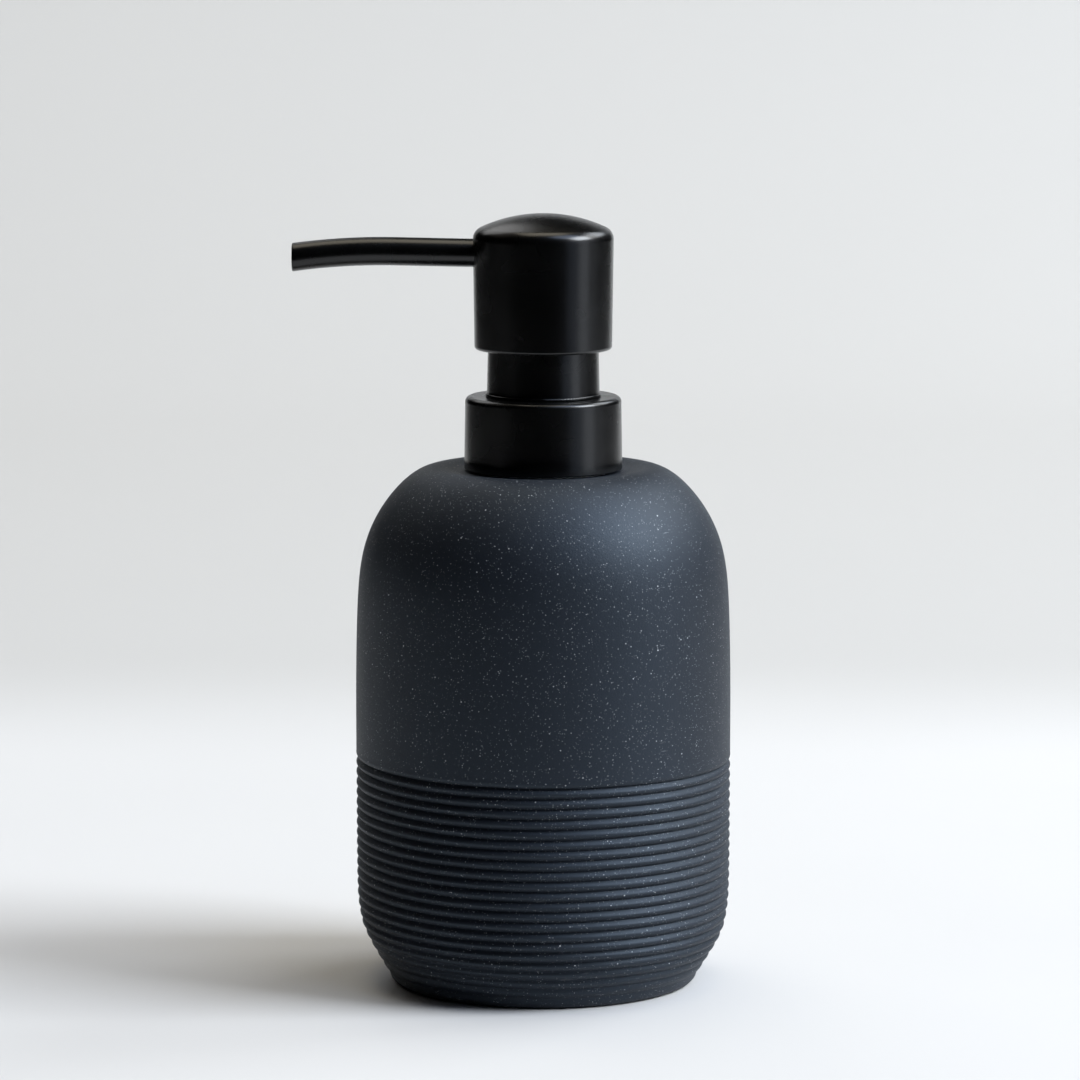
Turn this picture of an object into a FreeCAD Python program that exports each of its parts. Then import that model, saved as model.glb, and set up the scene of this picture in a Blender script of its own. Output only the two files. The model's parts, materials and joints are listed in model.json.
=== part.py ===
import FreeCAD, Part

import math
import os

from FreeCAD import Vector

# Soap pump dispenser: a cast resin bottle with fine ribs round its lower half
# and a screw-on lotion pump with a domed head and a thin side spout.
# Millimetres. +Z is up, z = 0 is the underside of the base pad, and the Z axis
# is the axis of the bottle and the pump. The spout points along -X.

# ---------------------------------------------------------------- dimensions
# bottle, outside
BODY_R = 38.0
BODY_STRAIGHT_TOP = 57.0
SHOULDER = [
    (37.967, 63.05), (37.858, 69.67), (37.660, 76.30), (37.423, 80.74),
    (36.950, 85.14), (36.032, 89.42), (34.483, 93.54), (32.280, 97.40),
    (29.520, 100.86), (26.156, 103.74), (24.060, 104.76), (21.80, 105.14),
    (19.30, 104.86),
]
TOP_FLAT_R = 17.0
BODY_TOP = 104.45
FOOT = [(29.95, 0.12), (30.64, 0.42), (31.25, 1.20)]
CREST = [
    (0.0, 30.6), (1.8, 31.66), (3.5, 32.59), (6.0, 34.10), (9.0, 35.83),
    (12.0, 37.00), (15.0, 37.56), (18.0, 37.82), (22.0, 37.93), (28.0, 37.98),
    (46.0, BODY_R), (50.0, BODY_R),
]
# ribs
RIBS_TOP = 45.8
RIB_PITCH = 2.065
RIB_GROOVES = 22
GROOVE_DEPTH = 0.52
GROOVE_DEPTH_LOWEST = [0.14, 0.22, 0.32, 0.42]
RIB_CREST_SHARE = 0.46
# bottle, inside
CAVITY = [
    (0.0, 6.2), (20.0, 6.2), (29.5, 10.0), (33.0, 18.0), (33.4, 26.0),
    (33.4, 62.0), (33.2, 74.0), (32.4, 83.0), (30.4, 90.0), (26.6, 95.6),
    (21.0, 98.9), (15.2, 99.6),
]
MOUTH_R = 13.2
PAD_R = 26.0
PAD_T = 1.3
FOOT_Z = 0.12
# threaded neck
NECK_BORE_R = 11.2
NECK_R = 12.6
NECK_TOP = 114.55
NECK_FLANGE_R = 14.4
NECK_FLANGE_T = 0.9
NECK_SPIGOT_BOTTOM = 96.6
THREAD_PITCH = 4.2333
THREAD_TURNS = 1.25
THREAD_CREST_R = 13.7
THREAD_ROOT_W = 2.4
THREAD_CREST_W = 1.15
THREAD_START_Z = 107.2
# closure
CAP_R = 14.8
CAP_BORE_R = 14.05
CAP_THREAD_R = 12.95
CAP_BOTTOM = 105.7
CAP_PLATE_Z = 116.9
CAP_TOP = 118.3
CAP_HOLE_R = 9.48
COLLAR_BOTTOM = 104.80
COLLAR_BOTTOM_R = 15.97
COLLAR_TOP_R = 15.73
COLLAR_BORE_R = 14.85
COLLAR_TOP = 119.5
COLLAR_HOLE_R = 9.60
COLLAR_EDGE = 1.1
# pump housing
HOUSING_R = 6.3
CYL_R = 5.4
FLANGE_R = 12.9
FLANGE_Z = 115.4
FLANGE_TOP = 116.8
BOSS_R = 8.35
BOSS_TOP = 118.6
TAIL_R = 4.3
TUBE_R = 3.0
TUBE_BORE_R = 2.2
TUBE_BOTTOM = 8.6
BALL_R = 2.8
BALL_Z = 69.42
# guide sleeve
SLEEVE_FOOT_R = 11.65
SLEEVE_FOOT_Z = 119.58
SLEEVE_FOOT_TOP = 120.12
SLEEVE_BORE_R = 10.0
SLEEVE_TOP = 135.2
# stem and piston
STEM_R = 3.4
STEM_BORE_R = 1.8
STEM_BOTTOM = 98.6
STEM_TOP = 137.6
GUIDE_R = 3.47
PISTON_R = 5.33
OUT_BALL_R = 2.2
OUT_BALL_Z = 134.90
# return spring
SPRING_R = 4.25
SPRING_WIRE_R = 0.40
SPRING_LOW = 74.82
SPRING_HIGH = 95.3
# head
HEAD_RIM_Z = 129.0
HEAD_R_LOW = 13.86
HEAD_R_HIGH = 14.16
HEAD_TOP = 156.3
DOME_R = 30.0
HEAD_EDGE = 2.6
HEAD_BORE_R = 11.8
CORE_R = 12.2
CORE_BOTTOM = 143.6
CORE_TOP = 149.9
CORE_BOSS_R = 5.2
CORE_BOSS_BOTTOM = 129.6
# spout
SPOUT_R = 2.85
SPOUT_BORE_R = 1.85
SPOUT_Z = 148.40
SPOUT_ROOT_X = -8.8
SPOUT_BEND_X = -29.8
SPOUT_RISE_DEG = 1.2
SPOUT_BEND_R = 130.0
SPOUT_TIP_X = -50.5

O = Vector(0, 0, 0)
Z = Vector(0, 0, 1)


# ------------------------------------------------------------------ helpers
def P(r, z):
    return Vector(r, 0, z)


def spin(wire):
    """Solid of revolution of a closed profile in the XZ plane about Z."""
    return Part.Face(wire).revolve(O, Z, 360)


def corners(pts):
    """Edges of a closed profile. Each point is (r, z) or (r, z, rounding)."""
    n = len(pts)
    enter, leave, arcs = [], [], []
    for i in range(n):
        p = pts[i]
        here = P(p[0], p[1])
        rad = p[2] if len(p) > 2 else 0.0
        if rad <= 0:
            enter.append(here)
            leave.append(here)
            arcs.append(None)
            continue
        a = (P(pts[i - 1][0], pts[i - 1][1]) - here).normalize()
        b = (P(pts[(i + 1) % n][0], pts[(i + 1) % n][1]) - here).normalize()
        half = a.getAngle(b) / 2.0
        cut = rad / math.tan(half)
        mid = (a + b).normalize()
        centre = here + mid * (rad / math.sin(half))
        enter.append(here + a * cut)
        leave.append(here + b * cut)
        arcs.append(centre - mid * rad)
    edges = []
    for i in range(n):
        if arcs[i] is not None:
            edges.append(Part.Arc(enter[i], arcs[i], leave[i]).toShape())
        j = (i + 1) % n
        if leave[i].distanceToPoint(enter[j]) > 1e-6:
            edges.append(Part.LineSegment(leave[i], enter[j]).toShape())
    return edges


def lathe(pts):
    return spin(Part.Wire(corners(pts)))


def curve(pts, start=None, end=None):
    c = Part.BSplineCurve()
    if start is not None:
        c.interpolate(Points=pts, InitialTangent=start, FinalTangent=end)
    else:
        c.interpolate(Points=pts)
    return c.toShape()


def line(a, b):
    return Part.LineSegment(a, b).toShape()


def rod(r, z0, z1, x=0.0, y=0.0):
    return Part.makeCylinder(r, z1 - z0, Vector(x, y, z0), Z)


def crest(z):
    """Radius of the rib crests at height z, straight lines between the table's rows."""
    for (za, ra), (zb, rb) in zip(CREST, CREST[1:]):
        if z <= zb:
            return ra + (rb - ra) * (z - za) / (zb - za)
    return CREST[-1][1]


def one_solid(shape):
    shape = shape.removeSplitter()
    if shape.ShapeType != "Solid":
        if len(shape.Solids) != 1:
            raise ValueError("expected one solid, got %d" % len(shape.Solids))
        shape = shape.Solids[0]
    if not shape.isValid():
        raise ValueError("invalid solid")
    return shape


def thread(r_root, r_crest, w_root, w_crest, z_start, turns, start_deg):
    """A helical ridge of trapezoid section about Z, right-handed."""
    height = THREAD_PITCH * turns
    helix = Part.makeHelix(THREAD_PITCH, height, r_root)
    helix.translate(Vector(0, 0, z_start))
    sec = Part.makePolygon([
        P(r_root, z_start - w_root / 2), P(r_crest, z_start - w_crest / 2),
        P(r_crest, z_start + w_crest / 2), P(r_root, z_start + w_root / 2),
        P(r_root, z_start - w_root / 2)])
    ridge = Part.Wire(helix.Edges).makePipeShell([sec], True, True)
    if ridge.ShapeType != "Solid":
        ridge = ridge.Solids[0]
    if ridge.Volume < 0:
        ridge.reverse()
    ridge.rotate(O, Z, start_deg)
    return ridge


# ------------------------------------------------------------------- bottle
def bottle_body():
    grooves = [RIBS_TOP - RIB_PITCH * k for k in range(RIB_GROOVES)]
    grooves.reverse()
    depths = []
    for i in range(len(grooves)):
        d = GROOVE_DEPTH_LOWEST[i] if i < len(GROOVE_DEPTH_LOWEST) else GROOVE_DEPTH
        depths.append(d)
    edges = []
    # recess for the pad, and the foot ring
    edges.append(line(P(0, PAD_T), P(PAD_R + 0.05, PAD_T)))
    edges.append(line(P(PAD_R + 0.05, PAD_T), P(PAD_R + 0.05, FOOT_Z)))
    edges.append(line(P(PAD_R + 0.05, FOOT_Z), P(FOOT[0][0], FOOT[0][1])))
    first = P(crest(grooves[0]) - depths[0], grooves[0])
    edges.append(Part.Arc(P(*FOOT[0]), P(*FOOT[1]), P(*FOOT[2])).toShape())
    edges.append(line(P(*FOOT[2]), first))
    # ribs
    last = first
    for i in range(1, len(grooves)):
        za, zb = grooves[i - 1], grooves[i]
        zm = za + (zb - za) * RIB_CREST_SHARE
        nxt = P(crest(zb) - depths[i], zb)
        edges.append(Part.Arc(last, P(crest(zm), zm), nxt).toShape())
        last = nxt
    # the plain wall starts with half a rib
    up = P(BODY_R, RIBS_TOP + RIB_PITCH * 0.62)
    mid = P(BODY_R - 0.115, RIBS_TOP + RIB_PITCH * 0.25)
    edges.append(Part.Arc(last, mid, up).toShape())
    edges.append(line(up, P(BODY_R, BODY_STRAIGHT_TOP)))
    pts = [P(BODY_R, BODY_STRAIGHT_TOP)] + [P(r, z) for r, z in SHOULDER]
    pts.append(P(TOP_FLAT_R, BODY_TOP))
    edges.append(curve(pts, Vector(0, 0, 1), Vector(-1, 0, 0)))
    # mouth
    edges.append(line(P(TOP_FLAT_R, BODY_TOP), P(MOUTH_R + 0.4, BODY_TOP)))
    edges.append(line(P(MOUTH_R + 0.4, BODY_TOP), P(MOUTH_R, BODY_TOP - 0.4)))
    low = P(MOUTH_R, 100.0)
    edges.append(line(P(MOUTH_R, BODY_TOP - 0.4), low))
    # cavity
    cav = [P(r, z) for r, z in CAVITY]
    edges.append(line(low, cav[-1]))
    side = list(reversed(cav[1:]))
    edges.append(curve(side))
    edges.append(line(cav[1], cav[0]))
    edges.append(line(cav[0], P(0, PAD_T)))
    return spin(Part.Wire(Part.__sortEdges__(edges)))


def neck_insert():
    z0, z1 = BODY_TOP, BODY_TOP + NECK_FLANGE_T
    tube = lathe([
        (NECK_BORE_R, NECK_SPIGOT_BOTTOM), (MOUTH_R - 0.45, NECK_SPIGOT_BOTTOM),
        (MOUTH_R - 0.05, NECK_SPIGOT_BOTTOM + 0.5), (MOUTH_R - 0.05, z0),
        (NECK_FLANGE_R, z0), (NECK_FLANGE_R, z1, 0.25), (NECK_R, z1),
        (NECK_R, NECK_TOP, 0.3), (NECK_BORE_R, NECK_TOP, 0.3)])
    ridge = thread(NECK_R - 0.35, THREAD_CREST_R, THREAD_ROOT_W + 0.4,
                   THREAD_CREST_W, THREAD_START_Z, THREAD_TURNS, 0)
    return one_solid(tube.fuse(ridge))


def base_pad():
    return lathe([(0, 0), (PAD_R, 0, 0.25), (PAD_R, PAD_T), (0, PAD_T)])


# ---------------------------------------------------------------- pump unit
def pump_housing():
    outer = lathe([
        (0, 58.0), (TAIL_R, 58.0, 0.3), (TAIL_R, 65.6), (HOUSING_R, 69.0),
        (HOUSING_R, FLANGE_Z), (FLANGE_R, FLANGE_Z, 0.2),
        (FLANGE_R, FLANGE_TOP, 0.2), (BOSS_R, FLANGE_TOP), (BOSS_R, BOSS_TOP, 0.3),
        (0, BOSS_TOP)])
    inner = lathe([
        (0, 57.0), (TUBE_R + 0.02, 57.0), (TUBE_R + 0.02, 66.0), (1.6, 66.0),
        (1.6, 67.0), (4.0, 69.4), (4.0, 73.7), (CYL_R, 73.7), (CYL_R, 120.0),
        (0, 120.0)])
    return one_solid(outer.cut(inner))


def neck_gasket():
    return lathe([(9.2, 114.6), (12.55, 114.6, 0.15), (12.55, 115.4), (9.2, 115.4)])


def stem_bush():
    return lathe([
        (GUIDE_R, 107.0), (CYL_R - 0.5, 107.0), (CYL_R - 0.03, 108.0),
        (CYL_R - 0.03, BOSS_TOP), (GUIDE_R + 1.1, BOSS_TOP),
        (GUIDE_R + 1.1, BOSS_TOP - 1.2), (GUIDE_R + 0.5, BOSS_TOP - 2.0),
        (GUIDE_R, BOSS_TOP - 2.6)])


def guide_sleeve():
    return lathe([
        (BOSS_R + 0.05, 116.85), (9.4, 116.85), (9.4, SLEEVE_FOOT_Z),
        (SLEEVE_FOOT_R, SLEEVE_FOOT_Z, 0.08), (SLEEVE_FOOT_R, SLEEVE_FOOT_TOP, 0.2),
        (11.37, SLEEVE_FOOT_TOP + 0.03), (11.20, 127.4), (11.10, SLEEVE_TOP, 0.4),
        (SLEEVE_BORE_R, SLEEVE_TOP, 0.3), (SLEEVE_BORE_R, 120.0, 0.5),
        (4.2, 120.0), (4.2, 118.65), (BOSS_R + 0.05, 118.65)])


def ball_cage():
    ring = lathe([(2.0, 73.75), (CYL_R - 0.03, 73.75), (CYL_R - 0.03, 74.8, 0.2),
                  (2.0, 74.8)])
    ways = []
    for a in range(0, 360, 90):
        w = Part.makeBox(1.4, 1.3, 3.0, Vector(1.6, -0.65, 73.0))
        w.rotate(O, Z, a)
        ways.append(w)
    for w in ways:
        ring = ring.cut(w)
    return one_solid(ring)


def dip_tube():
    tube = rod(TUBE_R, TUBE_BOTTOM, 65.95).cut(rod(TUBE_BORE_R, 0, 70))
    wedge = Part.makeBox(20, 20, 10, Vector(-10, -10, -10))
    wedge.rotate(O, Vector(0, 1, 0), 30)
    wedge.translate(Vector(0, 0, TUBE_BOTTOM + TUBE_R * math.tan(math.radians(30))))
    return one_solid(tube.cut(wedge))


def return_spring():
    """Compression coil with a nearly closed turn at each end."""
    z0 = SPRING_LOW + SPRING_WIRE_R
    z1 = SPRING_HIGH - SPRING_WIRE_R
    dead = 1.0
    active = 6.5
    turns = active + 2 * dead
    dead_rise = 2 * SPRING_WIRE_R + 0.12
    pitch = (z1 - z0 - 2 * dead_rise * dead) / active
    pts = []
    n = int(turns * 24)
    for i in range(n + 1):
        t = turns * i / n
        if t < dead:
            z = z0 + dead_rise * t
        elif t > dead + active:
            z = z1 - dead_rise * (turns - t)
        else:
            z = z0 + dead_rise * dead + pitch * (t - dead)
        a = 2 * math.pi * t
        pts.append(Vector(SPRING_R * math.cos(a), SPRING_R * math.sin(a), z))
    path = Part.BSplineCurve()
    path.interpolate(pts)
    wire = Part.Wire([path.toShape()])
    start = path.value(path.FirstParameter)
    tangent = path.tangent(path.FirstParameter)[0]
    circle = Part.Wire([Part.makeCircle(SPRING_WIRE_R, start, tangent)])
    s = wire.makePipeShell([circle], True, True)
    if s.ShapeType != "Solid":
        s = s.Solids[0]
    if s.Volume < 0:
        s.reverse()
    return s


def ball(r, z):
    return Part.makeSphere(r, Vector(0, 0, z))


# ------------------------------------------------------------------ closure
def screw_cap():
    shell = lathe([
        (CAP_BORE_R, CAP_BOTTOM), (CAP_R, CAP_BOTTOM, 0.2), (CAP_R, CAP_TOP, 0.6),
        (CAP_HOLE_R, CAP_TOP), (CAP_HOLE_R, CAP_PLATE_Z), (CAP_BORE_R, CAP_PLATE_Z)])
    # half a pitch below the neck's thread
    start = 150.0
    z_start = THREAD_START_Z - THREAD_PITCH / 2 + THREAD_PITCH * start / 360.0
    ridge = thread(CAP_BORE_R + 0.35, CAP_THREAD_R, THREAD_ROOT_W + 0.4,
                   THREAD_CREST_W, z_start, THREAD_TURNS, start)
    return one_solid(shell.fuse(ridge))


def collar_shell():
    return lathe([
        (COLLAR_BORE_R, COLLAR_BOTTOM, 0.15), (COLLAR_BOTTOM_R, COLLAR_BOTTOM, 0.25),
        (COLLAR_TOP_R, COLLAR_TOP, COLLAR_EDGE), (COLLAR_HOLE_R, COLLAR_TOP, 0.2),
        (COLLAR_HOLE_R, CAP_TOP + 0.05), (COLLAR_BORE_R, CAP_TOP + 0.05)])


# -------------------------------------------------------- piston and head
def piston_seal():
    return lathe([
        (2.15, 97.15), (4.3, 97.15), (PISTON_R, 96.6), (PISTON_R, 97.6, 0.2),
        (4.75, 98.9), (4.75, 102.0), (PISTON_R, 103.0), (PISTON_R, 103.9, 0.2),
        (4.6, 103.3), (4.1, 102.4), (STEM_R + 0.06, 102.4), (STEM_R + 0.06, 98.5),
        (2.15, 98.5)])


def stem():
    body = rod(STEM_R, STEM_BOTTOM, STEM_TOP)
    bore = lathe([
        (0, 90.0), (STEM_BORE_R, 90.0), (STEM_BORE_R, 133.6), (2.55, 134.35),
        (2.55, 140.0), (0, 140.0)])
    return one_solid(body.cut(bore))


def stem_foot():
    foot = lathe([
        (0, 92.4), (2.6, 92.4, 0.4), (3.3, 93.4), (3.3, 95.3), (4.95, 95.3, 0.15),
        (4.95, 96.45, 0.15), (3.6, 96.95), (2.1, 96.95), (2.1, 98.55),
        (STEM_BORE_R - 0.02, 98.55), (STEM_BORE_R - 0.02, 106.0, 0.3), (0, 106.0)])
    slot = Part.makeBox(1.1, 12.0, 12.0, Vector(-0.55, -6.0, 97.05))
    return one_solid(foot.cut(slot))


def head_shell():
    # rounding between the side and the dome
    zc = HEAD_TOP - DOME_R
    r_f = HEAD_R_HIGH - HEAD_EDGE
    z_f = zc + math.sqrt((DOME_R - HEAD_EDGE) ** 2 - r_f ** 2)
    k = DOME_R / (DOME_R - HEAD_EDGE)
    dome_end = P(r_f * k, zc + (z_f - zc) * k)
    side_end = P(HEAD_R_HIGH, z_f)
    a = math.atan2(z_f - zc, r_f) / 2
    edge_mid = P(r_f + HEAD_EDGE * math.cos(a), z_f + HEAD_EDGE * math.sin(a))
    a0 = math.atan2(dome_end.z - zc, dome_end.x)
    am = (a0 + math.pi / 2) / 2
    dome_mid = P(DOME_R * math.cos(am), zc + DOME_R * math.sin(am))
    rim = 0.65
    outer = [
        Part.Arc(P(HEAD_R_LOW - rim, HEAD_RIM_Z),
                 P(HEAD_R_LOW - rim * 0.293, HEAD_RIM_Z + rim * 0.293),
                 P(HEAD_R_LOW, HEAD_RIM_Z + rim)).toShape(),
        line(P(HEAD_R_LOW, HEAD_RIM_Z + rim), side_end),
        Part.Arc(side_end, edge_mid, dome_end).toShape(),
        Part.Arc(dome_end, dome_mid, P(0, HEAD_TOP)).toShape(),
        line(P(0, HEAD_TOP), P(0, HEAD_TOP - 3.2)),
    ]
    # inside: a skirt bore, then a pocket for the core, then the dome's underside
    in_r = DOME_R - 1.9
    pocket_r = CORE_R + 0.03
    roof_z = zc + math.sqrt((in_r - 1.3) ** 2 - pocket_r ** 2)
    am = (math.atan2(roof_z - zc, pocket_r) + math.pi / 2) / 2
    rr = in_r - 1.3
    inner = [
        Part.Arc(P(0, zc + rr), P(rr * math.cos(am), zc + rr * math.sin(am)),
                 P(pocket_r, roof_z)).toShape(),
        line(P(pocket_r, roof_z), P(pocket_r, CORE_BOTTOM)),
        line(P(pocket_r, CORE_BOTTOM), P(HEAD_BORE_R, CORE_BOTTOM)),
        line(P(HEAD_BORE_R, CORE_BOTTOM), P(HEAD_BORE_R, HEAD_RIM_Z + 0.4)),
        line(P(HEAD_BORE_R, HEAD_RIM_Z + 0.4), P(HEAD_BORE_R + 0.4, HEAD_RIM_Z)),
        line(P(HEAD_BORE_R + 0.4, HEAD_RIM_Z), P(HEAD_R_LOW - rim, HEAD_RIM_Z)),
    ]
    outer[-1] = line(P(0, HEAD_TOP), P(0, zc + rr))
    shell = spin(Part.Wire(Part.__sortEdges__(outer + inner)))
    port = spout_cylinder(SPOUT_R + 0.03, SPOUT_ROOT_X, -22.0)
    return one_solid(shell.cut(port))


def spout_line(x):
    """Height of the spout's centreline on its straight part."""
    return SPOUT_Z + math.tan(math.radians(SPOUT_RISE_DEG)) * (-15.0 - x)


def spout_cylinder(r, x0, x1):
    a = Vector(x0, 0, spout_line(x0))
    b = Vector(x1, 0, spout_line(x1))
    d = b - a
    return Part.makeCylinder(r, d.Length, a, d)


def head_core():
    core = lathe([
        (0, CORE_BOSS_BOTTOM), (CORE_BOSS_R, CORE_BOSS_BOTTOM, 0.4),
        (CORE_BOSS_R, CORE_BOTTOM, 0.6), (CORE_R, CORE_BOTTOM), (CORE_R, CORE_TOP, 0.3),
        (0, CORE_TOP)])
    core = core.cut(rod(STEM_R + 0.02, CORE_BOSS_BOTTOM - 1, STEM_TOP + 0.02))
    core = core.cut(rod(1.75, STEM_TOP - 1, spout_line(0)))
    core = core.cut(spout_cylinder(1.75, 1.2, SPOUT_ROOT_X - 1))
    core = core.cut(spout_cylinder(SPOUT_R + 0.03, SPOUT_ROOT_X + 0.02, -20.0))
    return one_solid(core)


def spout_tube():
    rise = math.radians(SPOUT_RISE_DEG)
    a = Vector(SPOUT_ROOT_X, 0, spout_line(SPOUT_ROOT_X))
    b = Vector(SPOUT_BEND_X, 0, spout_line(SPOUT_BEND_X))
    # centre of the bend, below the tube
    c = b + Vector(-math.sin(rise), 0, -math.cos(rise)) * SPOUT_BEND_R

    def on_bend(turn):
        ang = rise - turn
        return c + Vector(math.sin(ang), 0, math.cos(ang)) * SPOUT_BEND_R

    total = math.radians(10.5)
    path = Part.Wire([line(a, b),
                      Part.Arc(b, on_bend(total / 2), on_bend(total)).toShape()])
    d = (b - a).normalize()
    outer = path.makePipeShell([Part.Wire([Part.makeCircle(SPOUT_R, a, d)])], True, True)
    bore = path.makePipeShell([Part.Wire([Part.makeCircle(SPOUT_BORE_R, a, d)])], True, True)
    outer = outer if outer.ShapeType == "Solid" else outer.Solids[0]
    bore = bore if bore.ShapeType == "Solid" else bore.Solids[0]
    trim = Part.makeBox(20, 20, 20, Vector(SPOUT_TIP_X - 20, -10, 137))
    outer = outer.cut(trim)
    rim = [e for e in outer.Edges
           if abs(e.BoundBox.XMin - SPOUT_TIP_X) < 1e-3 and abs(e.BoundBox.XMax - SPOUT_TIP_X) < 1e-3]
    outer = outer.makeFillet(0.3, rim)
    tube = outer.cut(bore)
    return one_solid(tube)


NODES = [
    ("bottle_body", bottle_body), ("neck_insert", neck_insert), ("base_pad", base_pad),
    ("pump_housing", pump_housing), ("neck_gasket", neck_gasket),
    ("stem_bush", stem_bush), ("guide_sleeve", guide_sleeve),
    ("ball_cage", ball_cage), ("dip_tube", dip_tube), ("return_spring", return_spring),
    ("screw_cap", screw_cap), ("collar_shell", collar_shell),
    ("piston_seal", piston_seal), ("stem", stem), ("stem_foot", stem_foot),
    ("head_shell", head_shell), ("head_core", head_core), ("spout_tube", spout_tube),
]

os.makedirs("parts", exist_ok=True)
for name, make in NODES:
    shape = make()
    shape.exportStep("parts/" + name + ".step")
    b = shape.BoundBox
    print("%-14s %s valid=%s solids=%d vol=%.1f z %.2f..%.2f x %.2f..%.2f" % (
        name, shape.ShapeType, shape.isValid(), len(shape.Solids), shape.Volume,
        b.ZMin, b.ZMax, b.XMin, b.XMax))
ball(BALL_R, BALL_Z).exportStep("parts/inlet_ball.step")
ball(OUT_BALL_R, OUT_BALL_Z).exportStep("parts/outlet_ball.step")
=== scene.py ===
import json
import math

import bpy
import numpy as np
from mathutils import Matrix, Vector


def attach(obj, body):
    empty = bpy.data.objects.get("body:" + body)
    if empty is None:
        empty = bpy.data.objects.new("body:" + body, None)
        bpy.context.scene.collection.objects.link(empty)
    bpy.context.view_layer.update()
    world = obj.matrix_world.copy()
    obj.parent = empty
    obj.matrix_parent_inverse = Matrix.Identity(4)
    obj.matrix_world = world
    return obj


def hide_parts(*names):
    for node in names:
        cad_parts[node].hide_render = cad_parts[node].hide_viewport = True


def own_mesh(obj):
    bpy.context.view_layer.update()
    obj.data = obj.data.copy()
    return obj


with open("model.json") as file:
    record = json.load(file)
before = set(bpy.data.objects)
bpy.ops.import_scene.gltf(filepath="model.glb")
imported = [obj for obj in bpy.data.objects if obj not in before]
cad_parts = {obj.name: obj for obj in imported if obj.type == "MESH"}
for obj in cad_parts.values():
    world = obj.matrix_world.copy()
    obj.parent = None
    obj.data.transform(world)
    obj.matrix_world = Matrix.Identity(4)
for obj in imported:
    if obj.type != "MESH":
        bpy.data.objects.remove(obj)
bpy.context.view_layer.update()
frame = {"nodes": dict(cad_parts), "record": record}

MM = 0.001
nodes = frame["nodes"]


# ------------------------------------------------------------ node helpers
class Mat:
    """A material with short ways to add and join shader nodes."""

    def __init__(self, name):
        self.m = bpy.data.materials.new(name)
        self.m.use_nodes = True
        self.t = self.m.node_tree
        self.t.nodes.clear()
        self.out = self.t.nodes.new("ShaderNodeOutputMaterial")
        self.b = self.t.nodes.new("ShaderNodeBsdfPrincipled")
        self.t.links.new(self.b.outputs[0], self.out.inputs[0])
        tc = self.t.nodes.new("ShaderNodeTexCoord")
        self.mm = self.vec("SCALE", tc.outputs["Object"], scale=1000.0)

    def new(self, kind, **kw):
        n = self.t.nodes.new(kind)
        for k, v in kw.items():
            setattr(n, k, v)
        return n

    def put(self, socket, value):
        if hasattr(value, "is_linked") or isinstance(value, bpy.types.NodeSocket):
            self.t.links.new(value, socket)
        else:
            socket.default_value = value

    def vec(self, op, a, b=None, scale=None):
        n = self.new("ShaderNodeVectorMath", operation=op)
        self.put(n.inputs[0], a)
        if b is not None:
            self.put(n.inputs[1], b)
        if scale is not None:
            n.inputs["Scale"].default_value = scale
        return n.outputs[0]

    def math(self, op, a, b=None, c=None, clamp=False):
        n = self.new("ShaderNodeMath", operation=op, use_clamp=clamp)
        self.put(n.inputs[0], a)
        if b is not None:
            self.put(n.inputs[1], b)
        if c is not None:
            self.put(n.inputs[2], c)
        return n.outputs[0]

    def noise(self, scale, detail=2.0, rough=0.5, vector=None, dims="3D"):
        n = self.new("ShaderNodeTexNoise", noise_dimensions=dims)
        self.put(n.inputs["Vector"], vector if vector is not None else self.mm)
        n.inputs["Scale"].default_value = scale
        n.inputs["Detail"].default_value = detail
        n.inputs["Roughness"].default_value = rough
        return n.outputs[0]

    def voronoi(self, scale, vector=None, feature="F1"):
        n = self.new("ShaderNodeTexVoronoi", feature=feature)
        self.put(n.inputs["Vector"], vector if vector is not None else self.mm)
        n.inputs["Scale"].default_value = scale
        return n

    def remap(self, v, a, b, c=0.0, d=1.0, smooth=False):
        n = self.new("ShaderNodeMapRange", interpolation_type="SMOOTHSTEP" if smooth else "LINEAR")
        n.clamp = True
        self.put(n.inputs[0], v)
        for i, x in enumerate((a, b, c, d)):
            self.put(n.inputs[i + 1], x)
        return n.outputs[0]

    def mix(self, f, a, b):
        n = self.new("ShaderNodeMix", data_type="RGBA")
        self.put(n.inputs[0], f)
        self.put(n.inputs[6], a)
        self.put(n.inputs[7], b)
        return n.outputs[2]

    def split(self, c):
        n = self.new("ShaderNodeSeparateXYZ")
        self.put(n.inputs[0], c)
        return n.outputs

    def bump(self, height, distance, strength=1.0):
        n = self.new("ShaderNodeBump")
        self.put(n.inputs["Height"], height)
        n.inputs["Distance"].default_value = distance
        n.inputs["Strength"].default_value = strength
        self.put(self.b.inputs["Normal"], n.outputs[0])
        return n

    def set(self, name, value):
        self.put(self.b.inputs[name], value)


def rgb(r, g, b):
    return (r, g, b, 1.0)


def grains(m, scale, r_lo, r_hi, share, shift):
    """Round grains of random size buried in the casting: 1 inside a grain that meets the surface."""
    v = m.vec("ADD", m.mm, (shift, shift * 0.37, -shift * 0.61))
    vor = m.voronoi(scale, v)
    rnd = m.split(vor.outputs["Color"])
    dist = m.math("DIVIDE", vor.outputs["Distance"], scale)
    size = m.remap(m.math("POWER", rnd[0], 2.0), 0.0, 1.0, r_lo, r_hi)
    near = m.remap(m.math("DIVIDE", dist, size), 1.0, 0.55, 0.0, 1.0, smooth=True)
    there = m.math("LESS_THAN", rnd[1], share)
    bright = m.remap(m.math("POWER", rnd[2], 1.6), 0.0, 1.0, 0.30, 1.0)
    return m.math("MULTIPLY", m.math("MULTIPLY", near, there), bright)


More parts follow.
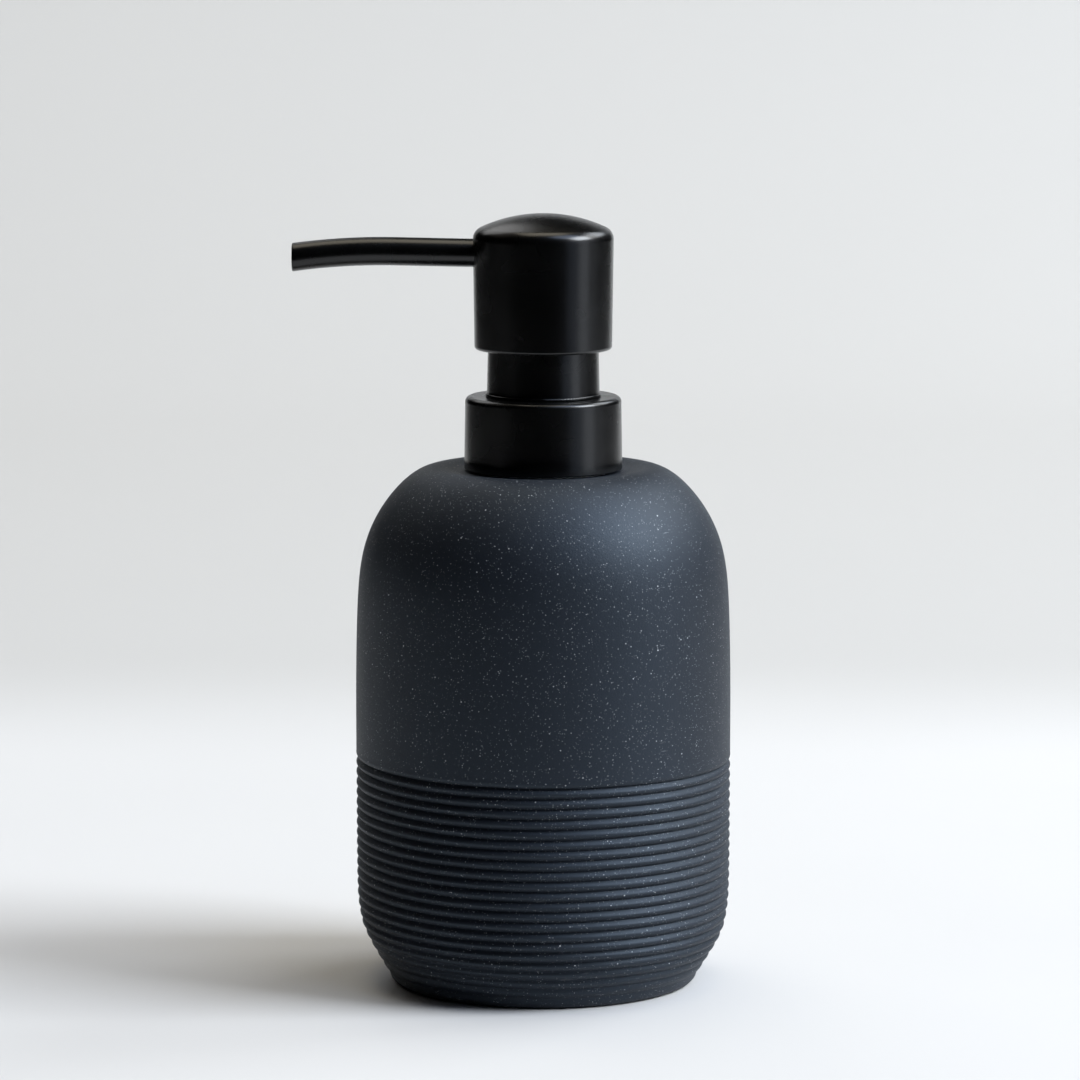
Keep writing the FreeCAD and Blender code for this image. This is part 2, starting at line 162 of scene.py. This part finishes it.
# --------------------------------------------------------------- materials
def speckled_resin():
    m = Mat("speckled_resin")
    cloud = m.noise(0.045, 3.0, 0.55)
    grain = m.noise(3.4, 4.0, 0.7)
    dark = m.mix(m.remap(cloud, 0.35, 0.7), rgb(0.0026, 0.0033, 0.0053), rgb(0.0048, 0.0060, 0.0094))
    dark = m.mix(m.remap(grain, 0.38, 0.72, 0.0, 0.6), dark, rgb(0.0140, 0.0172, 0.0260))
    fine = grains(m, 2.1, 0.050, 0.090, 0.95, 0.0)
    mid = grains(m, 1.40, 0.065, 0.118, 0.90, 13.0)
    big = grains(m, 0.62, 0.100, 0.170, 0.75, 37.0)
    specks = m.math("MAXIMUM", m.math("MAXIMUM", m.math("MULTIPLY", fine, 0.72), m.math("MULTIPLY", mid, 0.95)), big)
    # a few rubbed marks that run round the piece, mostly on the ribs
    long = m.vec("MULTIPLY", m.mm, (0.22, 0.22, 5.0))
    rub = m.math("MULTIPLY", m.remap(m.noise(1.0, 2.0, 0.5, long), 0.70, 0.76), m.remap(m.noise(0.09, 1.0, 0.5), 0.62, 0.72))
    specks = m.math("MAXIMUM", specks, m.math("MULTIPLY", rub, 0.35))
    col = m.mix(specks, dark, rgb(0.84, 0.87, 0.90))
    m.set("Base Color", col)
    m.set("Roughness", m.math("SUBTRACT", m.remap(grain, 0.3, 0.75, 0.50, 0.64), m.math("MULTIPLY", specks, 0.20)))
    m.set("Specular IOR Level", 0.52)
    m.set("Specular Tint", rgb(0.66, 0.82, 1.0))
    rough = m.noise(2.4, 5.0, 0.65)
    swell = m.noise(0.10, 2.0, 0.5)
    h = m.math("ADD", m.math("MULTIPLY", rough, 0.056), m.math("MULTIPLY", swell, 0.10))
    h = m.math("ADD", h, m.math("MULTIPLY", specks, 0.014))
    m.bump(h, MM, 1.0)
    return m.m


def satin_black(name="satin_black_plastic", rough=(0.24, 0.29), base=0.0005):
    m = Mat(name)
    g = m.noise(1.4, 3.0, 0.6)
    haze = m.noise(0.12, 2.0, 0.5)
    m.set("Base Color", m.mix(m.remap(g, 0.3, 0.7), rgb(base, base, base * 1.04), rgb(base * 1.7, base * 1.7, base * 1.8)))
    m.set("Roughness", m.remap(haze, 0.3, 0.7, rough[0], rough[1]))
    m.set("IOR", 1.47)
    fine = m.noise(5.0, 3.0, 0.6)
    wave = m.noise(0.16, 1.0, 0.4)
    m.bump(m.math("ADD", m.math("MULTIPLY", fine, 0.0015), m.math("MULTIPLY", wave, 0.010)), MM, 1.0)
    return m.m


def milky(name, a, b, rough, scatter=0.0015, bump=0.004):
    m = Mat(name)
    n = m.noise(0.35, 3.0, 0.5)
    m.set("Base Color", m.mix(m.remap(n, 0.35, 0.65), rgb(*a), rgb(*b)))
    m.set("Roughness", m.remap(m.noise(1.1, 3.0, 0.6), 0.3, 0.7, rough - 0.05, rough + 0.07))
    m.set("Subsurface Weight", 0.35)
    m.set("Subsurface Radius", (scatter, scatter, scatter))
    m.bump(m.math("MULTIPLY", m.noise(3.0, 3.0, 0.6), bump), MM, 1.0)
    return m.m


def foam(name, a, b):
    m = Mat(name)
    cells = m.voronoi(2.6)
    d = cells.outputs["Distance"]
    m.set("Base Color", m.mix(m.remap(d, 0.1, 0.6), rgb(*a), rgb(*b)))
    m.set("Roughness", m.remap(m.noise(1.5, 3.0), 0.3, 0.7, 0.75, 0.9))
    m.bump(m.math("MULTIPLY", d, 0.06), MM, 1.0)
    return m.m


def steel(name, rough, base=(0.60, 0.60, 0.59)):
    m = Mat(name)
    n = m.noise(2.0, 4.0, 0.6)
    m.set("Base Color", m.mix(m.remap(n, 0.3, 0.7), rgb(*base), rgb(*[c * 0.82 for c in base])))
    m.set("Metallic", 1.0)
    m.set("Roughness", m.remap(n, 0.3, 0.7, rough, rough + 0.08))
    m.bump(m.math("MULTIPLY", m.noise(8.0, 3.0), 0.002), MM, 1.0)
    return m.m


MATS = {
    "speckled_resin": speckled_resin(),
    "satin_black_plastic": satin_black(),
    "closure_plastic": satin_black("closure_plastic", (0.38, 0.48), 0.010),
    "natural_plastic": milky("natural_plastic", (0.74, 0.75, 0.73), (0.80, 0.80, 0.78), 0.38),
    "tube_plastic": milky("tube_plastic", (0.76, 0.78, 0.78), (0.82, 0.83, 0.82), 0.30),
    "seal_plastic": milky("seal_plastic", (0.62, 0.66, 0.70), (0.70, 0.73, 0.76), 0.42),
    "gasket_foam": foam("gasket_foam", (0.70, 0.70, 0.67), (0.84, 0.84, 0.81)),
    "foam_pad": foam("foam_pad", (0.010, 0.010, 0.011), (0.030, 0.030, 0.031)),
    "spring_steel": steel("spring_steel", 0.24),
    "ball_steel": steel("ball_steel", 0.07, (0.68, 0.68, 0.68)),
}
SLOT = {s["node"]: s["material_slot"] for s in frame["record"]["subparts"]}


def paint(obj, slot_name):
    obj.data.materials.clear()
    obj.data.materials.append(MATS[slot_name])


def smooth(obj, angle_deg=32.0):
    """Smooth shading with hard edges kept where faces meet at more than the angle."""
    me = obj.data
    me.polygons.foreach_set("use_smooth", np.ones(len(me.polygons), bool))
    sharp = me.attributes.get("sharp_edge") or me.attributes.new("sharp_edge", "BOOLEAN", "EDGE")
    n = np.empty(len(me.polygons) * 3)
    me.polygons.foreach_get("normal", n)
    n = n.reshape(-1, 3)
    le = np.empty(len(me.loops), np.int64)
    me.loops.foreach_get("edge_index", le)
    lp = np.repeat(np.arange(len(me.polygons)), [len(p.vertices) for p in me.polygons])
    order = np.argsort(le, kind="stable")
    le, lp = le[order], lp[order]
    flag = np.zeros(len(me.edges), bool)
    same = np.nonzero(le[1:] == le[:-1])[0]
    dot = np.einsum("ij,ij->i", n[lp[same]], n[lp[same + 1]])
    flag[le[same]] = dot < math.cos(math.radians(angle_deg))
    sharp.data.foreach_set("value", flag)
    me.update()


for name, obj in nodes.items():
    paint(obj, SLOT[name])


# -------------------------------------------------------------- mesh tools
def mesh_object(name, verts, faces):
    me = bpy.data.meshes.new(name)
    me.from_pydata([tuple(v) for v in verts], [], faces)
    me.validate()
    o = bpy.data.objects.new(name, me)
    bpy.context.scene.collection.objects.link(o)
    return o


def lathe(name, prof, seg, change=None):
    """A closed profile of (r, z) in mm, anticlockwise, turned about Z. Points with r = 0 become one vertex."""
    ang = np.linspace(0, 2 * math.pi, seg, endpoint=False)
    rings, verts = [], []
    for r, z in prof:
        if r < 1e-6:
            rings.append([len(verts)] * seg)
            verts.append((0.0, 0.0, z))
        else:
            rings.append(list(range(len(verts), len(verts) + seg)))
            verts.extend(zip(r * np.cos(ang), r * np.sin(ang), np.full(seg, z)))
    v = np.array(verts, float)
    if change is not None:
        v = change(v)
    v *= MM
    faces = []
    for i in range(len(rings)):
        a, b = rings[i], rings[(i + 1) % len(rings)]
        if len(set(a)) == 1 and len(set(b)) == 1:
            continue
        for k in range(seg):
            j = (k + 1) % seg
            f = [a[k], a[j], b[j], b[k]]
            g = []
            for q in f:
                if q not in g:
                    g.append(q)
            if len(g) > 2:
                faces.append(g)
    return mesh_object(name, v, faces)


def arc(c, r, a0, a1, n):
    """Points of an arc about c, angles in degrees."""
    return [(c[0] + r * math.cos(math.radians(a0 + (a1 - a0) * i / n)),
             c[1] + r * math.sin(math.radians(a0 + (a1 - a0) * i / n))) for i in range(n + 1)]


def three(p, q, s, n):
    """n pieces of the arc that goes through p, q and s."""
    ax, ay, bx, by, cx, cy = *p, *q, *s
    d = 2 * (ax * (by - cy) + bx * (cy - ay) + cx * (ay - by))
    ux = ((ax * ax + ay * ay) * (by - cy) + (bx * bx + by * by) * (cy - ay) + (cx * cx + cy * cy) * (ay - by)) / d
    uy = ((ax * ax + ay * ay) * (cx - bx) + (bx * bx + by * by) * (ax - cx) + (cx * cx + cy * cy) * (bx - ax)) / d
    r = math.hypot(ax - ux, ay - uy)
    a0 = math.degrees(math.atan2(ay - uy, ax - ux))
    a1 = math.degrees(math.atan2(cy - uy, cx - ux))
    am = math.degrees(math.atan2(by - uy, bx - ux))

    def after(x, start):
        return (x - start) % 360

    if after(am, a0) < after(a1, a0):
        return arc((ux, uy), r, a0, a0 + after(a1, a0), n)
    return arc((ux, uy), r, a0, a0 - after(a0, a1), n)


def spline(pts, n, start=None, end=None):
    """Points of a smooth cubic through pts, parametrised by chord length, with given end directions."""
    p = np.array(pts, float)
    s = np.r_[0, np.cumsum(np.hypot(*np.diff(p, axis=0).T))]
    h = np.diff(s)
    k = len(p)
    A = np.zeros((k, k))
    B = np.zeros((k, 2))
    for i in range(1, k - 1):
        A[i, i - 1], A[i, i], A[i, i + 1] = h[i], 2 * (h[i - 1] + h[i]), h[i - 1]
        B[i] = 3 * (h[i] / h[i - 1] * (p[i] - p[i - 1]) + h[i - 1] / h[i] * (p[i + 1] - p[i]))
    if start is None:
        A[0, 0], A[0, 1] = 2, 1
        B[0] = 3 * (p[1] - p[0]) / h[0]
    else:
        A[0, 0] = 1
        B[0] = start
    if end is None:
        A[-1, -1], A[-1, -2] = 2, 1
        B[-1] = 3 * (p[-1] - p[-2]) / h[-1]
    else:
        A[-1, -1] = 1
        B[-1] = end
    t = np.linalg.solve(A, B)
    out = []
    for x in np.linspace(0, s[-1], n + 1):
        i = min(max(int(np.searchsorted(s, x, side="right")) - 1, 0), k - 2)
        u = (x - s[i]) / h[i]
        out.append(tuple((2 * u**3 - 3 * u**2 + 1) * p[i] + (u**3 - 2 * u**2 + u) * h[i] * t[i]
                         + (-2 * u**3 + 3 * u**2) * p[i + 1] + (u**3 - u**2) * h[i] * t[i + 1]))
    return out


def join(*runs):
    """One closed profile out of runs, without repeated points."""
    out = []
    for run in runs:
        for q in run:
            if not out or math.hypot(q[0] - out[-1][0], q[1] - out[-1][1]) > 1e-4:
                out.append((float(q[0]), float(q[1])))
    if math.hypot(out[0][0] - out[-1][0], out[0][1] - out[-1][1]) < 1e-4:
        out.pop()
    return out


def along(p, q, n):
    return [(p[0] + (q[0] - p[0]) * i / n, p[1] + (q[1] - p[1]) * i / n) for i in range(n + 1)]


# ------------------------------------------------------------- the bottle
CREST = [(0.0, 30.6), (1.8, 31.66), (3.5, 32.59), (6.0, 34.10), (9.0, 35.83), (12.0, 37.00), (15.0, 37.56),
         (18.0, 37.82), (22.0, 37.93), (28.0, 37.98), (46.0, 38.0), (50.0, 38.0)]
RIBS_TOP, PITCH, COUNT, DEPTH = 45.8, 2.065, 22, 0.70
LOWEST = [0.40, 0.56, 0.66, 0.70]


def crest(z):
    return float(np.interp(z, [c[0] for c in CREST], [c[1] for c in CREST]))


def bottle_profile():
    grooves = [RIBS_TOP - PITCH * k for k in range(COUNT)][::-1]
    depth = [LOWEST[i] if i < len(LOWEST) else DEPTH for i in range(COUNT)]
    runs = [[(0, 1.3), (26.05, 1.3)], along((26.05, 1.3), (26.05, 0.12), 2), along((26.05, 0.12), (29.95, 0.12), 3),
            three((29.95, 0.12), (30.64, 0.42), (31.25, 1.20), 8)]
    last = (crest(grooves[0]) - depth[0], grooves[0])
    runs.append(along((31.25, 1.20), last, 4))
    for i in range(1, COUNT):
        za, zb = grooves[i - 1], grooves[i]
        run = []
        for k in range(17):
            u = k / 16
            lift = math.sin(math.pi * u ** 0.90) ** 1.30
            d = (depth[i - 1] * (1 - u) + depth[i] * u) * (1 - lift)
            run.append((crest(za + (zb - za) * u) - d, za + (zb - za) * u))
        runs.append(run)
        last = run[-1]
    up = (38.0, RIBS_TOP + PITCH * 0.62)
    runs.append(three(last, (38.0 - 0.115, RIBS_TOP + PITCH * 0.25), up, 8))
    runs.append(along(up, (38.0, 57.0), 12))
    runs.append(spline([(38.0, 57.0), (37.967, 63.05), (37.858, 69.67), (37.660, 76.30), (37.423, 80.74), (36.950, 85.14),
                        (36.032, 89.42), (34.483, 93.54), (32.280, 97.40), (29.520, 100.86), (26.156, 103.74),
                        (24.060, 104.76), (21.80, 105.14), (19.30, 104.86), (17.0, 104.45)], 110, (0, 1), (-1, 0)))
    runs.append([(17.0, 104.45), (13.6, 104.45), (13.2, 104.05), (13.2, 100.0), (15.2, 99.6)])
    runs.append(spline([(15.2, 99.6), (21.0, 98.9), (26.6, 95.6), (30.4, 90.0), (32.4, 83.0), (33.2, 74.0), (33.4, 62.0),
                        (33.4, 26.0), (33.0, 18.0), (29.5, 10.0), (20.0, 6.2)], 60))
    runs.append([(20.0, 6.2), (0, 6.2)])
    return join(*runs)


rng = np.random.default_rng(11)
RIPPLE = rng.uniform(0, 2 * math.pi, (COUNT + 2, 4))
RIPPLE_A = rng.normal(0, 0.022, (COUNT + 2, 4))


def hand_cast(v):
    """The small unevenness of a cast piece: the ribs lean slightly to one side, and each one wanders a little."""
    r = np.hypot(v[:, 0], v[:, 1])
    z = v[:, 2].copy()
    outer = r > np.interp(z, [0, 3, 6, 12, 100], [29, 30.5, 32.5, 35.0, 35.0])
    lean = np.interp(z, [1.0, 9.0, 46.0, 56.0], [0.0, 1.0, 1.0, 0.0])
    a = np.arctan2(v[:, 1], v[:, 0])
    i = np.clip(((RIBS_TOP + PITCH / 2 - z) / PITCH).astype(int), 0, COUNT)
    wave = np.zeros(len(v))
    for k in range(4):
        wave += RIPPLE_A[i, k] * np.cos((k + 2) * a + RIPPLE[i, k])
    ring = np.interp(z, [1.5, 4.0, 46.2, 47.5], [0.0, 1.0, 1.0, 0.0])
    dz = -v[:, 0] * 0.0078 * lean + wave * ring
    v[:, 2] = np.where(outer & (z < 60), z + dz, z)
    return v


bottle = lathe("bottle_cast", bottle_profile(), 384, hand_cast)
smooth(bottle, 40)
paint(bottle, "speckled_resin")
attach(bottle, "bottle")
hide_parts("bottle_body")


# ------------------------------------------------------------- the spring
SPRING_R, WIRE_R, SPRING_LOW, SPRING_HIGH, STROKE = 4.25, 0.40, 74.82, 95.3, 7.5


def coil_line(n):
    """Centre line of the compression coil: nearly closed end turns and open turns between."""
    z0, z1 = SPRING_LOW + WIRE_R, SPRING_HIGH - WIRE_R
    dead, active = 1.0, 6.5
    turns = active + 2 * dead
    rise = 2 * WIRE_R + 0.12
    pitch = (z1 - z0 - 2 * rise * dead) / active
    t = np.linspace(0, turns, n)
    z = np.where(t < dead, z0 + rise * t, np.where(t > dead + active, z1 - rise * (turns - t), z0 + rise * dead + pitch * (t - dead)))
    return np.stack([SPRING_R * np.cos(2 * math.pi * t), SPRING_R * np.sin(2 * math.pi * t), z], 1)


def wire(name, line, r, sides=14):
    tan = np.gradient(line, axis=0)
    tan /= np.linalg.norm(tan, axis=1)[:, None]
    out = np.stack([line[:, 0], line[:, 1], np.zeros(len(line))], 1)
    out -= (out * tan).sum(1)[:, None] * tan
    out /= np.linalg.norm(out, axis=1)[:, None]
    side = np.cross(tan, out)
    a = np.linspace(0, 2 * math.pi, sides, endpoint=False)
    v = (line[:, None, :] + r * (np.cos(a)[None, :, None] * out[:, None, :] + np.sin(a)[None, :, None] * side[:, None, :])).reshape(-1, 3) * MM
    faces = []
    for i in range(len(line) - 1):
        for k in range(sides):
            j = (k + 1) % sides
            faces.append((i * sides + k, (i + 1) * sides + k, (i + 1) * sides + j, i * sides + j))
    faces.append(tuple(range(sides)))
    faces.append(tuple(range((len(line) - 1) * sides, len(line) * sides))[::-1])
    return mesh_object(name, v, faces)


spring = wire("spring_coil", coil_line(420), WIRE_R)
smooth(spring, 50)
paint(spring, "spring_steel")
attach(spring, "pump_unit")
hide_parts("return_spring")
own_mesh(spring)


# ---------------------------------------------------------------- the set
def set_material():
    m = Mat("table_and_wall_painted_shade")
    n = m.noise(0.004, 3.0, 0.5)
    near = m.mix(m.remap(n, 0.3, 0.7), rgb(0.660, 0.652, 0.640), rgb(0.680, 0.672, 0.660))
    # from 240 mm to 420 mm behind the bottle the floor is painted darker: painted shade for the less lit far table
    # and wall, not a colour the surface has
    m.set("Base Color", m.mix(m.remap(m.split(m.mm)[1], 240.0, 420.0, smooth=True), near, rgb(0.545, 0.537, 0.520)))
    m.set("Roughness", m.remap(n, 0.3, 0.7, 0.55, 0.62))
    return m.m


def sweep():
    pts = [(-0.30, 0.0), (0.95, 0.0)]
    pts += [(0.95 + 0.45 * math.sin(t), 0.45 - 0.45 * math.cos(t)) for t in np.linspace(0, math.pi / 2, 24)[1:]]
    pts += [(1.40, 0.70)]
    verts, faces = [], []
    for y, z in pts:
        verts += [(-0.60, y, z), (0.70, y, z)]
    for i in range(len(pts) - 1):
        faces.append((2 * i, 2 * i + 1, 2 * i + 3, 2 * i + 2))
    o = mesh_object("floor", verts, faces)
    for p in o.data.polygons:
        p.use_smooth = True
    o.data.materials.append(set_material())
    return o


floor = sweep()


def area(name, place, at, size, power, colour, spread=180.0):
    d = bpy.data.lights.new(name, "AREA")
    d.shape = "RECTANGLE"
    d.size, d.size_y = size
    d.energy = power
    d.color = colour
    d.spread = math.radians(spread)
    o = bpy.data.objects.new(name, d)
    o.location = place
    o.rotation_euler = (Vector(at) - Vector(place)).to_track_quat("-Z", "Y").to_euler()
    o.visible_camera = False
    bpy.context.scene.collection.objects.link(o)
    return o


def polar(az, el, dist, z0=0.08):
    a, e = math.radians(az), math.radians(el)
    return (math.sin(a) * math.cos(e) * dist, -math.cos(a) * math.cos(e) * dist, z0 + math.sin(e) * dist)


AT = (0, 0, 0.08)
area("window", polar(75, 38, 2.7), AT, (1.3, 1.1), 83.82, (0.94, 1.0, 1.07))
area("window_back", polar(125, 38, 2.7), AT, (1.3, 1.1), 24.00, (0.94, 1.0, 1.07))
area("window_mid", polar(100, 38, 2.7), AT, (1.3, 1.1), 10.16, (1.03, 1.0, 0.95))
area("window_top", polar(60, 60, 2.7), AT, (1.6, 1.2), 16.51, (0.80, 0.97, 1.32))
area("window_low", polar(70, 6, 2.4), AT, (0.84, 1.24), 4.57, (0.93, 1.0, 1.10))
area("window_low_near", polar(50, 6, 2.4), AT, (0.84, 1.24), 1.40, (0.84, 1.0, 1.28))
area("window_low_far", polar(90, 6, 2.4), AT, (0.84, 1.24), 0.95, (0.94, 1.0, 1.10))
area("ceiling", polar(180, 82, 2.6), AT, (1.6, 1.6), 19.05, (1.09, 1.0, 0.82))
area("left_fill", polar(-110, 50, 2.4), AT, (1.4, 1.2), 0.80, (1.10, 1.0, 0.86))

area("back_fill", polar(-150, 42, 1.5), AT, (0.9, 0.7), 2.8, (1.0, 1.0, 1.0))

# the room beyond the table is pale to look at and gives no light of its own
world = bpy.data.worlds.new("room")
bpy.context.scene.world = world
world.use_nodes = True
world.node_tree.nodes["Background"].inputs[0].default_value = (0.72, 0.72, 0.715, 1.0)
world.node_tree.nodes["Background"].inputs[1].default_value = 1.0
seen = world.cycles_visibility
seen.diffuse = seen.glossy = seen.transmission = seen.scatter = False
bpy.context.scene.view_settings.view_transform = "Standard"

# --------------------------------------------------------------- the camera
cam = bpy.data.cameras.new("camera")
cam.lens, cam.sensor_width = 185.0, 36.0
cam.clip_start, cam.clip_end = 0.05, 20.0
camera = bpy.data.objects.new("camera", cam)
camera.location = (-0.00066, -1.11208, 0.245445)
camera.rotation_euler = (math.radians(90 - 7.95), 0, 0)
bpy.context.scene.collection.objects.link(camera)
bpy.context.scene.camera = camera
